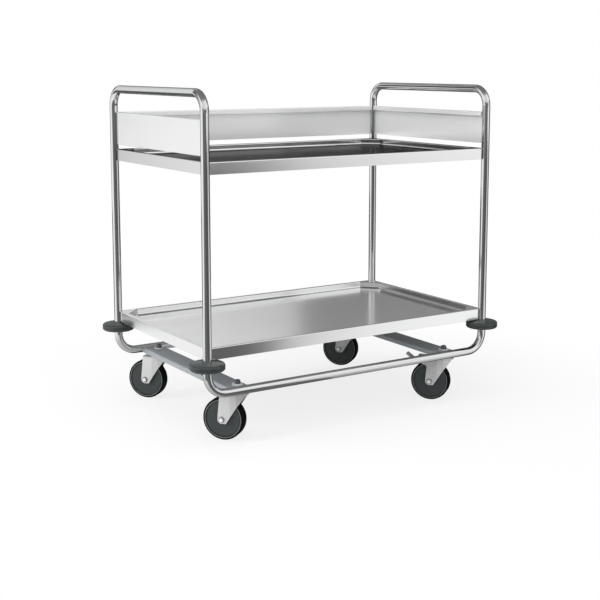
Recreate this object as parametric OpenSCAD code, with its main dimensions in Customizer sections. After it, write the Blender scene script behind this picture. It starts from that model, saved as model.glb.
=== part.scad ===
// Tray return trolley: a two-shelf stainless trolley on four swivel casters.
// Millimetres. X runs along the trolley, Y from front to back, Z up.
// The origin is on the floor, under the middle of the frame.

/* [Frame] */
// Distance between the uprights along the trolley, centre to centre
frame_len = 1000; // [700:10:1300]
// Distance between the uprights across the trolley, centre to centre
frame_dep = 600; // [450:10:800]
// Outside diameter of the frame tube
tube_d = 25; // [20:0.5:26]
// Wall of the frame tube
tube_wall = 1.5; // [1:0.1:2.5]
// Height of the push handle above the base rail, centre to centre
handle_rise = 836; // [800:1:950]
// Centre line radius of the handle bends
handle_bend_r = 52; // [40:1:65]
// Centre line radius of the base rail bends
base_bend_r = 57; // [40:1:65]
// Length of the spigot inside each frame joint
spigot_len = 50; // [30:1:60]
// Wall of the spigot
spigot_wall = 2; // [1.5:0.1:3]

/* [Shelves] */
// Height of the lower shelf's rim above the base rail's centre
lower_shelf_rise = 134; // [130:1:200]
// Height of the upper shelf's rim above the base rail's centre
upper_shelf_rise = 650; // [450:1:660]
// Height of a shelf's folded edge
apron_h = 35; // [30:0.5:40]
// Width of the fold under a shelf's edge
hem_w = 12; // [8:0.5:16]
// Depth of the tray pressed into a shelf
tray_depth = 20; // [14:0.5:22]
// Width of the rim round a tray
rim_w = 13; // [10:0.5:20]
// Leg of the triangular plate across each inner corner of a tray
corner_leg = 48; // [35:1:80]
// Radius between a tray's wall and its floor
floor_r = 6; // [3:0.5:10]
// Thickness of the shelf and gallery sheet
sheet_t = 1.2; // [1:0.1:1.8]
// Outer radius of a fold in the sheet
fold_r = 3; // [2.2:0.1:4]
// Width of a stiffening rail's crown under a shelf
rail_crown_w = 40; // [30:1:60]
// Width of each foot of a stiffening rail
rail_foot_w = 14; // [10:1:20]
// Height of a stiffening rail
rail_h = 11; // [8:0.5:12]
// Distance of a stiffening rail from the middle of the shelf
rail_offset = 130; // [90:5:160]

/* [Gallery] */
// Height of the gallery panels
gallery_h = 100; // [60:1:110]
// Gap between a shelf's rim and the gallery panels
gallery_gap = 15; // [8:1:20]
// Height of the lip folded down inside a panel's top edge
lip_h = 15; // [10:0.5:20]
// Depth of that lip
lip_d = 9; // [8:0.5:10]

/* [Bumpers] */
// Diameter of a bumper disc
bumper_d = 100; // [80:1:120]
// Thickness of a bumper disc
bumper_h = 25; // [22:0.5:28]
// Gap between a bumper and the lower shelf's edge
bumper_drop = 1.5; // [0.4:0.1:4]
// Rounding of a bumper's edges
bumper_edge_r = 7; // [4:0.5:8]
// How far the middle of a bumper stands above its edge
bumper_crown = 3.5; // [1:0.5:5]
// Width of the groove round a bumper
groove_w = 4; // [2:0.5:6]
// Depth of the groove round a bumper
groove_depth = 1.2; // [0.5:0.1:2]

/* [Cross members] */
// Width of a cross member
channel_w = 66; // [64:1:76]
// Height of a cross member's flanges, web included
channel_h = 15.5; // [12:0.5:17]
// Thickness of a cross member
channel_t = 2; // [1.5:0.1:2.5]
// Outer radius of a cross member's folds
channel_r = 5; // [3:0.5:6]
// Offset of a cross member's middle from the swivels, towards the left
channel_shift = 8.5; // [0:0.5:9]
// Height of a cross member's top above the base rail's centre
channel_rise = 5; // [0:0.5:5.5]
// Distance of a caster's swivel from the uprights, along the trolley
caster_inset_len = 120; // [100:1:200]
// Distance of a caster's swivel from the uprights, across the trolley
caster_inset_dep = 44; // [42:1:80]

/* [Casters] */
// Direction in which the casters trail
caster_yaw = 128.6; // [0:0.1:360]
// Distance from the swivel to the axle
trail = 40; // [30:0.5:41]
// Diameter of a wheel
wheel_d = 125; // [115:1:130]
// Width of a tyre
tyre_w = 32; // [28:0.5:32.4]
// Thickness of a tyre
tyre_t = 5.5; // [5:0.5:9]
// Rounding of a tyre's shoulders
tyre_r = 4.5; // [3:0.5:4.5]
// Width of the raised bead round a wheel's face
bead_w = 3; // [2:0.5:5]
// Width across a wheel's faces at the disc
disc_w = 27; // [22:0.5:28]
// Diameter of a wheel's hub
hub_d = 30; // [24:1:40]
// Clear width between a fork's legs
fork_gap = 43; // [43:0.5:50]
// Thickness of a fork's plate
fork_t = 3; // [2:0.1:4]
// Outer radius of the fold between a fork's crown and its legs
fork_fold_r = 6; // [4:0.5:8]
// Gap between a tyre and the crown of its fork
crown_gap = 12; // [10:0.5:16]
// Thickness of a fork's crown
crown_t = 4; // [3.5:0.1:5]
// Height of the ball race above the crown
race_h = 4.4; // [4:0.1:5]
// Diameter of the balls in the swivel
ball_d = 6; // [5.6:0.1:6.2]
// Diameter of the circle of balls
ball_circle_d = 28; // [27:0.5:29]
// Number of balls in a swivel
ball_count = 12; // [8:1:12]
// Diameter of a swivel head
head_d = 42; // [41.5:0.1:42.5]
// Height of a swivel head above its ball race
head_h = 17.6; // [14:0.1:20]
// Diameter of a king bolt
king_d = 12; // [10:0.5:12]
// Diameter of an axle bolt
axle_d = 10; // [8:0.5:10]
// Outside diameter of the sleeve on an axle bolt
sleeve_d = 13; // [12.5:0.1:14]
// Outside diameter of a wheel's bush
bush_d = 18; // [16:0.5:20]

/* [Brakes] */
// Distance of a brake's pivot behind the axle
pivot_back = 40; // [36:0.5:44]
// Diameter of a brake's pivot pin
pin_d = 6; // [5:0.1:6.5]
// Diameter of the barrel round that pin
barrel_d = 14; // [12:0.5:15]
// Width of a pedal's tread
tread_w = 30; // [24:1:36]
// Length of a pedal's tread
tread_len = 31; // [24:1:31]
// Slope of a pedal's tread
tread_slope = 37; // [20:1:37]
// Thickness of a pedal's plate
pedal_t = 3; // [2:0.1:3.5]
// Diameter of the brake shoe's bar
shoe_d = 6; // [5:0.1:6.4]

/* [Hidden] */

// Smoothness of round shapes
$fn = 64;
// Overrun of every cut
over = 1;
// Clearance of a part that turns on another, on the radius
run_gap = 0.05;
// Clearance of a part seated on another
seat_gap = 0.1;
// Clearance between faces that pass each other
side_gap = 0.4;

// Frame heights, from the floor up
tube_r = tube_d / 2;
bore_r = tube_r - tube_wall;
axle_z = wheel_d / 2;
crown_z = wheel_d + crown_gap;
crown_top = crown_z + crown_t;
race_top = crown_top + race_h;
head_top = race_top + head_h;
channel_top = head_top + channel_t;
rail_z = channel_top - channel_rise;
handle_z = rail_z + handle_rise;
lower_top = rail_z + lower_shelf_rise;
upper_top = rail_z + upper_shelf_rise;
bumper_top = lower_top - apron_h - bumper_drop;
bumper_bottom = bumper_top - bumper_h;
joint_z = bumper_bottom + bumper_h / 2;

// Plan places
half_len = frame_len / 2;
half_dep = frame_dep / 2;
caster_x = half_len - caster_inset_len;
caster_y = half_dep - caster_inset_dep;
notch_r = tube_r + seat_gap;

// Corner names and their signs along X and Y
CORNERS = [["fl", -1, -1], ["bl", -1, 1], ["fr", 1, -1], ["br", 1, 1]];

// Fork outline, seen along the axle: x behind the swivel, z above the floor
fork_out = fork_gap / 2 + fork_t;
leg_back = 13;
leg_front = 12.5;
leg_drop = 12;
leg_chamfer = 8;
leg_shoulder = 8;
leg_top_back = 6;
crease_ahead = 24.5;
crown_front = 30;
crown_nose = 3;
facet_run = 19;
facet_angles = [13, 23];
leg_foot_z = axle_z - leg_drop;
crease_x = trail - crease_ahead;
edge_slope = (crown_top - leg_foot_z) / (trail - leg_front + crown_front);
crease_z = leg_foot_z + (crease_ahead - leg_front) * edge_slope;
facet_runs = [facet_run, crease_x + crown_front - facet_run];
fold_x = crease_x - facet_run;
fold_out = fork_out - facet_runs[0] * tan(facet_angles[0]);
fold_z = crease_z + facet_run * edge_slope;
nose_half_w = fold_out - facet_runs[1] * tan(facet_angles[1]);

// Swivel parts
king_r = king_d / 2;
king_head_d = 22;
king_head_h = 6;
washer_d = 33;
washer_t = 2.5;
nut_across = 17;
nut_h = 9.5;
bolt_tip = 2;
tip_chamfer = 1;
ball_z = crown_top + race_h / 2;
groove_r = ball_d / 2 + seat_gap;
skirt_t = 2.5;
head_edge = 3;

// Wheel parts
rim_r = wheel_d / 2 - tyre_t;
bead_set = 0.15;
bead_half_w = tyre_w / 2 - bead_set;
gutter = 2.5;
gutter_depth = 2;
disc_dish = 1.5;
hub_half = fork_gap / 2 - side_gap;
axle_flange_d = 18;
axle_flange_t = 1.5;
axle_head_d = 12;
axle_head_t = 3;
axle_nut_across = 15;
axle_nut_h = 7;

// Brake parts
pivot_x = trail + pivot_back;
barrel_drop = 2;
pivot_z = crown_top - barrel_d / 2 - barrel_drop;
arm_land = 0.6;
arm_r = barrel_d / 2 + arm_land;
arm_root = 36;
arm_root_z = crown_top - arm_root;
arm_throat = 9;
pedal_play = 0.8;
pedal_half = fork_gap / 2 - pedal_play;
pin_head_d = 10;
pin_head_t = 2;
lever_len = 15;
shoe_drop = 14;
shoe_ahead = 3;
shoe_w = 24;

// A child and its mirror image along X
module mirrored_x() {
    children();
    mirror([1, 0, 0]) children();
}

// A child and its mirror image along Y
module mirrored_y() {
    children();
    mirror([0, 1, 0]) children();
}

// A child at each upright
module at_uprights() {
    mirrored_x() mirrored_y() translate([half_len, half_dep, 0]) children();
}

// A child in a caster's own frame: x behind the swivel, y along the axle
module at_caster(corner) {
    place = [for (c = CORNERS) if (c[0] == corner) c][0];
    translate([place[1] * caster_x, place[2] * caster_y, 0]) rotate([0, 0, caster_yaw]) children();
}

// A plate cut to an outline of x and z, standing across y from its middle outwards
module upright_plate(thickness, y_inner) {
    translate([0, y_inner + thickness, 0]) rotate([90, 0, 0]) linear_extrude(thickness) children();
}

// A quarter bend of round bar: from along -Z at the origin to along +X, turning upwards
module quarter_bend(bend_r, radius) {
    translate([bend_r, 0, 0]) rotate([90, 0, 0]) rotate([0, 0, 180]) rotate_extrude(angle = 90)
        translate([bend_r, 0]) circle(radius);
}

// Bar along one push bow: two uprights, two bends and the handle, at x = 0
module bow_bar(radius, end_over) {
    bend_z = handle_z - handle_bend_r;
    mirrored_y() {
        translate([0, half_dep, joint_z + seat_gap - end_over])
            cylinder(r = radius, h = bend_z - joint_z - seat_gap + end_over);
        translate([0, half_dep, bend_z]) rotate([180, 0, -90]) quarter_bend(handle_bend_r, radius);
    }
    translate([0, half_dep - handle_bend_r, handle_z]) rotate([90, 0, 0])
        cylinder(r = radius, h = frame_dep - 2 * handle_bend_r);
}

module push_bow(side) {
    color("gainsboro") translate([side * half_len, 0, 0]) difference() {
        bow_bar(tube_r, 0);
        bow_bar(bore_r, over);
    }
}

// Bar along one base rail: the rail, two bends and two stubs, at y = 0
module base_bar(radius, end_over) {
    bend_top = rail_z + base_bend_r;
    mirrored_x() {
        translate([-half_len, 0, bend_top])
            cylinder(r = radius, h = joint_z - seat_gap - bend_top + end_over);
        translate([-half_len, 0, bend_top]) quarter_bend(base_bend_r, radius);
    }
    translate([-half_len + base_bend_r, 0, rail_z]) rotate([0, 90, 0])
        cylinder(r = radius, h = frame_len - 2 * base_bend_r);
}

module base_rail(side) {
    color("gainsboro") translate([0, side * half_dep, 0]) difference() {
        base_bar(tube_r, 0);
        base_bar(bore_r, over);
    }
}

module joint_spigots() {
    spigot_r = bore_r - run_gap;
    color("silver") at_uprights() translate([0, 0, joint_z - spigot_len / 2]) difference() {
        cylinder(r = spigot_r, h = spigot_len);
        translate([0, 0, -over]) cylinder(r = spigot_r - spigot_wall, h = spigot_len + 2 * over);
    }
}

// Section of a folded edge: flat top at y = 0, rounded shoulders, open downwards
module edge_section(half_w, height, radius) {
    translate([-half_w, -height]) square([2 * half_w, height - radius]);
    translate([-half_w + radius, -height]) square([2 * (half_w - radius), height]);
    for (s = [-1, 1]) translate([s * (half_w - radius), -radius]) circle(radius);
}

// Section of a pressed tray: flared mouth at y = 0, straight walls, rounded floor
module tray_section(half_w, depth, mouth_r, bottom_r) {
    translate([-half_w, -depth + bottom_r]) square([2 * half_w, depth - bottom_r + over]);
    translate([-half_w + bottom_r, -depth]) square([2 * (half_w - bottom_r), depth]);
    for (s = [-1, 1]) translate([s * (half_w - bottom_r), -depth + bottom_r]) circle(bottom_r);
    difference() {
        translate([-half_w - mouth_r, -mouth_r]) square([2 * (half_w + mouth_r), mouth_r + over]);
        for (s = [-1, 1]) translate([s * (half_w + mouth_r), -mouth_r]) circle(mouth_r);
    }
}

// A section drawn out level in one direction
module drawn_out(turn) {
    span = frame_len + frame_dep;
    rotate([0, 0, turn]) rotate([90, 0, 0]) linear_extrude(span, center = true) children();
}

// The form of a tray with cut corners, grown by the sheet where grow is sheet_t
module tray_form(grow) {
    half_x = half_len - rim_w;
    half_y = half_dep - rim_w;
    half_diagonal = (half_x + half_y - corner_leg) / sqrt(2);
    depth = tray_depth;
    intersection() {
        drawn_out(0) tray_section(half_x + grow, depth, fold_r - grow, floor_r + grow);
        drawn_out(90) tray_section(half_y + grow, depth, fold_r - grow, floor_r + grow);
        drawn_out(45) tray_section(half_diagonal + grow, depth, fold_r - grow, floor_r + grow);
        drawn_out(-45) tray_section(half_diagonal + grow, depth, fold_r - grow, floor_r + grow);
    }
}

// The block inside a shelf's folded edges, set in by the sheet where inset is sheet_t
module shelf_block(inset) {
    height = apron_h - 2 * inset;
    intersection() {
        drawn_out(0) edge_section(half_len - inset, height, fold_r - inset);
        drawn_out(90) edge_section(half_dep - inset, height, fold_r - inset);
    }
}

// A shelf with its rim at z = 0
module shelf_sheet() {
    difference() {
        shelf_block(0);
        tray_form(0);
        translate([0, 0, -sheet_t]) difference() {
            shelf_block(sheet_t);
            tray_form(sheet_t);
        }
        translate([-half_len + hem_w, -half_dep + hem_w, -apron_h - over])
            cube([frame_len - 2 * hem_w, frame_dep - 2 * hem_w, sheet_t + 2 * over]);
        at_uprights() translate([0, 0, -apron_h - over]) cylinder(r = notch_r, h = apron_h + 2 * over);
    }
}

module shelf(top_z) {
    color("lightgray") translate([0, 0, top_z]) shelf_sheet();
}

// Two hat-section rails under a tray's floor
module shelf_rails(top_z) {
    rail_len = frame_len - 2 * (rim_w + corner_leg);
    foot_top = top_z - tray_depth - sheet_t;
    crown_half = rail_crown_w / 2;
    color("silver") mirrored_y() translate([-rail_len / 2, rail_offset, foot_top])
        rotate([90, 0, 90]) linear_extrude(rail_len) {
            for (s = [-1, 1]) {
                translate([s * (crown_half + rail_foot_w / 2), -sheet_t / 2])
                    square([rail_foot_w, sheet_t], center = true);
                translate([s * (crown_half - sheet_t / 2), -rail_h / 2])
                    square([sheet_t, rail_h], center = true);
            }
            translate([-crown_half, -rail_h]) square([rail_crown_w, sheet_t]);
        }
}

// Section of a gallery panel's folded lip: u inwards, z up from the panel's foot
module lip_section() {
    inner_r = fold_r - sheet_t;
    translate([0, gallery_h - lip_h]) square([sheet_t, lip_h - fold_r]);
    translate([lip_d - sheet_t, gallery_h - lip_h]) square([sheet_t, lip_h - fold_r]);
    translate([fold_r, gallery_h - sheet_t]) square([lip_d - 2 * fold_r, sheet_t]);
    for (s = [0, 1]) translate([fold_r + s * (lip_d - 2 * fold_r), gallery_h - fold_r])
        mirror([s, 0]) intersection() {
            difference() {
                circle(fold_r);
                circle(inner_r);
            }
            translate([-fold_r, 0]) square(fold_r);
        }
}

// A gallery panel between two uprights, its outer face at y = 0, the inside towards +Y
module gallery_panel(span) {
    lip_len = span - 2 * notch_r;
    difference() {
        union() {
            translate([-span / 2, 0, 0]) cube([span, sheet_t, gallery_h - fold_r]);
            translate([-lip_len / 2, 0, 0]) rotate([90, 0, 90]) linear_extrude(lip_len) lip_section();
        }
        mirrored_x() translate([span / 2, 0, -over]) cylinder(r = notch_r, h = gallery_h + 2 * over);
    }
}

module side_gallery(side) {
    color("lightgray") translate([side * half_len, 0, upper_top + gallery_gap])
        rotate([0, 0, side * 90]) gallery_panel(frame_dep);
}

module back_gallery() {
    color("lightgray") translate([0, half_dep, upper_top + gallery_gap])
        rotate([0, 0, 180]) gallery_panel(frame_len);
}

// A folded cross member, coped to both base rails and bored for its two casters
module cross_member(side) {
    color("lightslategray") difference() {
        translate([side * caster_x - channel_shift, 0, channel_top]) rotate([90, 0, 0])
            linear_extrude(frame_dep, center = true) difference() {
                edge_section(channel_w / 2, channel_h, channel_r);
                translate([0, -channel_t])
                    edge_section(channel_w / 2 - channel_t, channel_h, channel_r - channel_t);
            }
        mirrored_y() {
            translate([side * half_len - frame_len, half_dep, rail_z]) rotate([0, 90, 0])
                cylinder(r = notch_r, h = 2 * frame_len);
            translate([side * half_len - frame_len, half_dep, rail_z - channel_h])
                cube([2 * frame_len, half_dep, 2 * channel_h]);
            translate([side * caster_x, caster_y, head_top - over])
                cylinder(r = king_r + seat_gap, h = channel_t + 2 * over);
        }
    }
}

// A rubber disc round the frame joint, with a groove round its edge
module bumper(side_x, side_y) {
    outer_r = bumper_d / 2;
    bore = tube_r + run_gap;
    edge_r = bumper_edge_r;
    shoulder_z = bumper_h - bumper_crown - edge_r;
    color("dimgray") translate([side_x * half_len, side_y * half_dep, bumper_bottom])
        rotate_extrude() difference() {
            union() {
                translate([bore, 0]) square([outer_r - edge_r - bore, shoulder_z + edge_r]);
                translate([bore, edge_r]) square([outer_r - bore, shoulder_z - edge_r]);
                translate([outer_r - edge_r, edge_r]) circle(edge_r);
                translate([outer_r - edge_r, shoulder_z]) circle(edge_r);
                polygon([
                    [bore, shoulder_z],
                    [outer_r - edge_r, shoulder_z],
                    [outer_r - edge_r, shoulder_z + edge_r],
                    [bore + bumper_crown, bumper_h],
                    [bore, bumper_h]
                ]);
            }
            translate([outer_r - groove_depth, (shoulder_z + edge_r - groove_w) / 2])
                square([groove_depth + over, groove_w]);
        }
}

module king_bolt_washers() {
    color("white") mirrored_x() mirrored_y() translate([caster_x, caster_y, channel_top]) difference() {
        cylinder(d = washer_d, h = washer_t);
        translate([0, 0, -over]) cylinder(r = king_r + seat_gap, h = washer_t + 2 * over);
    }
}

module king_bolt_nuts() {
    color("dimgray") mirrored_x() mirrored_y() translate([caster_x, caster_y, channel_top + washer_t])
        difference() {
            cylinder(d = nut_across / cos(30), h = nut_h, $fn = 6);
            translate([0, 0, -over]) cylinder(r = king_r + run_gap, h = nut_h + 2 * over);
        }
}

// The fixed half of a swivel: a cup over the ball race
module swivel_head(corner) {
    head_r = head_d / 2;
    bore = king_r + run_gap;
    color("silver") at_caster(corner) rotate_extrude() difference() {
        union() {
            translate([bore, race_top]) square([head_r - head_edge - bore, head_h]);
            translate([bore, race_top]) square([head_r - bore, head_h - head_edge]);
            translate([head_r - head_edge, head_top - head_edge]) circle(head_edge);
            translate([head_r - skirt_t, crown_top + side_gap]) square([skirt_t, race_h]);
        }
        translate([ball_circle_d / 2, ball_z]) circle(groove_r);
    }
}

module king_bolt(corner) {
    rim_h = king_head_h / 2;
    rim_z = crown_z - side_gap - rim_h;
    shank_top = channel_top + washer_t + nut_h + bolt_tip - tip_chamfer;
    color("dimgray") at_caster(corner) {
        translate([0, 0, rim_z - rim_h])
            cylinder(d1 = king_head_d - king_head_h, d2 = king_head_d, h = rim_h);
        translate([0, 0, rim_z]) cylinder(d = king_head_d, h = rim_h);
        translate([0, 0, rim_z]) cylinder(r = king_r, h = shank_top - rim_z);
        translate([0, 0, shank_top]) cylinder(r1 = king_r, r2 = king_r - tip_chamfer, h = tip_chamfer);
    }
}

module swivel_balls(corner) {
    color("silver") at_caster(corner) for (i = [0 : ball_count - 1])
        rotate([0, 0, i * 360 / ball_count]) translate([ball_circle_d / 2, 0, ball_z]) sphere(d = ball_d);
}

// Outline of a fork's leg behind its crease
module leg_outline() {
    polygon([
        [trail - leg_front, leg_foot_z],
        [trail + leg_back - leg_chamfer, leg_foot_z],
        [trail + leg_back, leg_foot_z + leg_chamfer],
        [trail + leg_back, axle_z + leg_shoulder],
        [trail + leg_top_back, crown_top],
        [crease_x, crown_top],
        [crease_x, crease_z]
    ]);
}

// A facet of a fork's leg: starts at a vertical fold and closes in towards the swivel
module leg_facet(start_x, start_y, run, angle, back_z, front_z) {
    reach = run / cos(angle);
    translate([start_x, start_y, 0]) rotate([0, 0, angle]) upright_plate(fork_t, -fork_t)
        polygon([[0, back_z], [0, crown_top], [-reach, crown_top], [-reach, front_z]]);
}

// Outline of the arm that carries the brake's pivot
module arm_outline() {
    difference() {
        union() {
            polygon([
                [trail, arm_root_z],
                [trail + leg_top_back + arm_throat, pivot_z - arm_r - arm_throat],
                [pivot_x, pivot_z - arm_r],
                [pivot_x, pivot_z + arm_r],
                [trail, pivot_z + arm_r]
            ]);
            translate([pivot_x, pivot_z]) circle(arm_r);
        }
        translate([pivot_x, pivot_z]) circle(pin_d / 2 + run_gap);
    }
}

// A pressed fork: crown, two legs with a crease, and a facet that closes in towards the swivel
module fork(corner, braked) {
    color("lightgray") at_caster(corner) difference() {
        union() {
            intersection() {
                rotate([90, 0, 90]) linear_extrude(trail + leg_back + over) difference() {
                    translate([0, crown_top]) edge_section(fork_out, crown_top, fork_fold_r);
                    translate([0, crown_z]) edge_section(fork_gap / 2, crown_top, fork_fold_r - fork_t);
                }
                upright_plate(2 * fork_out, -fork_out) leg_outline();
            }
            mirrored_y() {
                leg_facet(crease_x, fork_out, facet_runs[0], facet_angles[0], crease_z, fold_z);
                leg_facet(fold_x, fold_out, facet_runs[1], facet_angles[1], fold_z, crown_z);
            }
            translate([0, 0, crown_z]) linear_extrude(crown_t) {
                mirrored_y() polygon([
                    [crease_x, 0],
                    [crease_x, fork_out - fork_t / 2],
                    [fold_x, fold_out - fork_t / 2],
                    [-crown_front, nose_half_w - fork_t / 2],
                    [-crown_front, 0]
                ]);
                intersection() {
                    circle(crown_front + crown_nose);
                    translate([-crown_front - crown_nose, -nose_half_w])
                        square([crown_front + crown_nose, 2 * nose_half_w]);
                }
            }
            if (braked) mirrored_y() upright_plate(fork_t, fork_gap / 2) arm_outline();
        }
        translate([0, 0, crown_z - over]) cylinder(r = king_r + run_gap, h = crown_t + 2 * over);
        translate([0, 0, ball_z]) rotate_extrude() translate([ball_circle_d / 2, 0]) circle(groove_r);
        translate([trail, fork_out + over, axle_z]) rotate([90, 0, 0])
            cylinder(r = axle_d / 2 + run_gap, h = 2 * (fork_out + over));
    }
}

// An axle: bolt, sleeve between the legs, and nut, each a solid of its own
module axle(corner) {
    color("silver") at_caster(corner) translate([trail, 0, axle_z]) rotate([-90, 0, 0]) {
        translate([0, 0, fork_out]) {
            cylinder(d = axle_flange_d, h = axle_flange_t);
            cylinder(d = axle_head_d, h = axle_flange_t + axle_head_t);
        }
        translate([0, 0, -fork_out - axle_nut_h - bolt_tip])
            cylinder(d = axle_d, h = 2 * fork_out + axle_nut_h + bolt_tip);
        difference() {
            translate([0, 0, -fork_gap / 2 + seat_gap])
                cylinder(d = sleeve_d, h = fork_gap - 2 * seat_gap);
            translate([0, 0, -fork_gap / 2]) cylinder(r = axle_d / 2 + run_gap, h = fork_gap);
        }
        difference() {
            translate([0, 0, -fork_out - axle_nut_h])
                cylinder(d = axle_nut_across / cos(30), h = axle_nut_h, $fn = 6);
            translate([0, 0, -fork_out - axle_nut_h - over])
                cylinder(r = axle_d / 2 + run_gap, h = axle_nut_h + 2 * over);
        }
    }
}

// A round solid turned about an axle from a half section of radius and width
module turned_on_axle(corner) {
    at_caster(corner) translate([trail, 0, axle_z]) rotate([-90, 0, 0]) rotate_extrude() children();
}

// A wheel centre: hub, dished disc, gutter and bead
module wheel(corner) {
    disc_r = rim_r - bead_w - gutter;
    disc_half = disc_w / 2;
    color("darkslategray") turned_on_axle(corner) difference() {
        union() {
            translate([bush_d / 2, -hub_half]) square([(hub_d - bush_d) / 2, 2 * hub_half]);
            polygon([
                [bush_d / 2, -disc_half + disc_dish],
                [hub_d / 2, -disc_half + disc_dish],
                [disc_r, -disc_half],
                [disc_r, disc_half],
                [hub_d / 2, disc_half - disc_dish],
                [bush_d / 2, disc_half - disc_dish]
            ]);
            translate([disc_r, -disc_half + gutter_depth])
                square([rim_r - disc_r, disc_w - 2 * gutter_depth]);
            translate([rim_r - bead_w, -bead_half_w]) square([bead_w, 2 * bead_half_w]);
        }
        translate([bush_d / 2 - over, -hub_half - over]) square([over + run_gap, 2 * (hub_half + over)]);
    }
}

module tyre(corner) {
    outer_r = wheel_d / 2;
    inner_r = rim_r + run_gap;
    shoulder_r = outer_r - tyre_r;
    half_w = tyre_w / 2;
    color("black") turned_on_axle(corner) {
        translate([inner_r, -half_w]) square([shoulder_r - inner_r, tyre_w]);
        translate([inner_r, -half_w + tyre_r]) square([outer_r - inner_r, tyre_w - 2 * tyre_r]);
        for (s = [-1, 1]) translate([shoulder_r, s * (half_w - tyre_r)]) intersection() {
            circle(tyre_r);
            translate([inner_r - shoulder_r, -tyre_r]) square([outer_r - inner_r, 2 * tyre_r]);
        }
    }
}

module wheel_bush(corner) {
    bore = sleeve_d / 2 + run_gap;
    color("silver") turned_on_axle(corner)
        translate([bore, -hub_half]) square([bush_d / 2 - bore, 2 * hub_half]);
}

// A pedal: barrel on its pin, lever, tread and the bar that presses on the tyre
module brake_pedal(corner) {
    lever_foot = -barrel_d / 2;
    tip = [lever_len + tread_len * cos(tread_slope), lever_foot + tread_len * sin(tread_slope)];
    color("lightgray") at_caster(corner) translate([pivot_x, 0, pivot_z]) difference() {
        union() {
            translate([0, pedal_half, 0]) rotate([90, 0, 0]) cylinder(d = barrel_d, h = 2 * pedal_half);
            upright_plate(tread_w, -tread_w / 2) {
                translate([0, lever_foot]) square([lever_len + pedal_t, pedal_t]);
                translate([lever_len, lever_foot]) rotate(tread_slope) square([tread_len, pedal_t]);
                translate(tip) rotate(tread_slope) translate([0, pedal_t / 2]) circle(d = pedal_t);
            }
            upright_plate(shoe_w, -shoe_w / 2) {
                polygon([
                    [-barrel_d / 2, 0],
                    [-shoe_ahead - shoe_d / 2, -shoe_drop],
                    [-shoe_ahead + shoe_d / 2, -shoe_drop],
                    [barrel_d / 2, 0]
                ]);
                translate([-shoe_ahead, -shoe_drop]) circle(d = shoe_d);
            }
        }
        translate([0, fork_gap / 2, 0]) rotate([90, 0, 0])
            cylinder(r = pin_d / 2 + run_gap, h = fork_gap);
    }
}

module brake_pin(corner) {
    color("silver") at_caster(corner) translate([pivot_x, 0, pivot_z]) rotate([-90, 0, 0]) {
        translate([0, 0, -fork_out]) cylinder(d = pin_d, h = 2 * fork_out);
        for (s = [0, 1]) mirror([0, 0, s]) translate([0, 0, fork_out])
            cylinder(d = pin_head_d, h = pin_head_t);
    }
}

push_bow(-1);  // left_push_bow
push_bow(1);  // right_push_bow
base_rail(-1);  // front_base_rail
base_rail(1);  // back_base_rail
joint_spigots();
shelf(upper_top);  // upper_shelf
shelf(lower_top);  // lower_shelf
shelf_rails(upper_top);  // upper_shelf_rails
shelf_rails(lower_top);  // lower_shelf_rails
side_gallery(-1);  // left_gallery
side_gallery(1);  // right_gallery
back_gallery();
cross_member(-1);  // left_cross_member
cross_member(1);  // right_cross_member
bumper(-1, -1);  // bumper_front_left
bumper(-1, 1);  // bumper_back_left
bumper(1, -1);  // bumper_front_right
bumper(1, 1);  // bumper_back_right
king_bolt_washers();
king_bolt_nuts();
for (c = CORNERS) {
    swivel_head(c[0]);
    king_bolt(c[0]);
    fork(c[0], c[1] > 0);
    swivel_balls(c[0]);
    axle(c[0]);
    wheel(c[0]);
    tyre(c[0]);
    wheel_bush(c[0]);
}
for (c = CORNERS) if (c[1] > 0) {
    brake_pedal(c[0]);
    brake_pin(c[0]);
}
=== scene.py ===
"""Looks of a tray return trolley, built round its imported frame.

A plain white studio holds the camera, the light and the floor. Each sub-assembly of the trolley is a
class that dresses its own CAD nodes with procedural finishes and models the small detail on them.
"""

import logging
import math
from contextlib import contextmanager
from dataclasses import dataclass
from enum import Enum
from functools import cached_property
from typing import Callable, Iterator, Sequence

import bpy
from mathutils import Matrix, Vector


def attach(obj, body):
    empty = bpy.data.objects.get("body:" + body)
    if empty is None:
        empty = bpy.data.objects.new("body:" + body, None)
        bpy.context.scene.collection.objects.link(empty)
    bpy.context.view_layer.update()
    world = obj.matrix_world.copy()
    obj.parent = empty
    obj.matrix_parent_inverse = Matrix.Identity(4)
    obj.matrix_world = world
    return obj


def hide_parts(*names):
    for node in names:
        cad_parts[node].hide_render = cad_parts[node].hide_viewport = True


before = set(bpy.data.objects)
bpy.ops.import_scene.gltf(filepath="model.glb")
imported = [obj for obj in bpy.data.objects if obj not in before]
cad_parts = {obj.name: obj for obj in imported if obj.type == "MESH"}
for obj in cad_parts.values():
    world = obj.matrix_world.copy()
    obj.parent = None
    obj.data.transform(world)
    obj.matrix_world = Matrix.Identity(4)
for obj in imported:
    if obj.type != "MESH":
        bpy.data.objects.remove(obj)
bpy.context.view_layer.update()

LOG = logging.getLogger("trolley")
Colour = tuple[float, float, float]
Point = tuple[float, float, float]
Span = tuple[float, float]
Step = tuple[float, ...]
Stops = tuple[Span, ...]
Material = bpy.types.Material
Node = bpy.types.Node
Outputs = bpy.types.bpy_prop_collection
Piece = bpy.types.Object
Socket = bpy.types.NodeSocket
Tree = bpy.types.NodeTree
Skin = tuple[Socket, Socket, dict[str, Socket]]

WHITE: Colour = (1.0, 1.0, 1.0)
# How far a face's normal leans along an axis when the face counts as looking that way
FACING = 0.9


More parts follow.
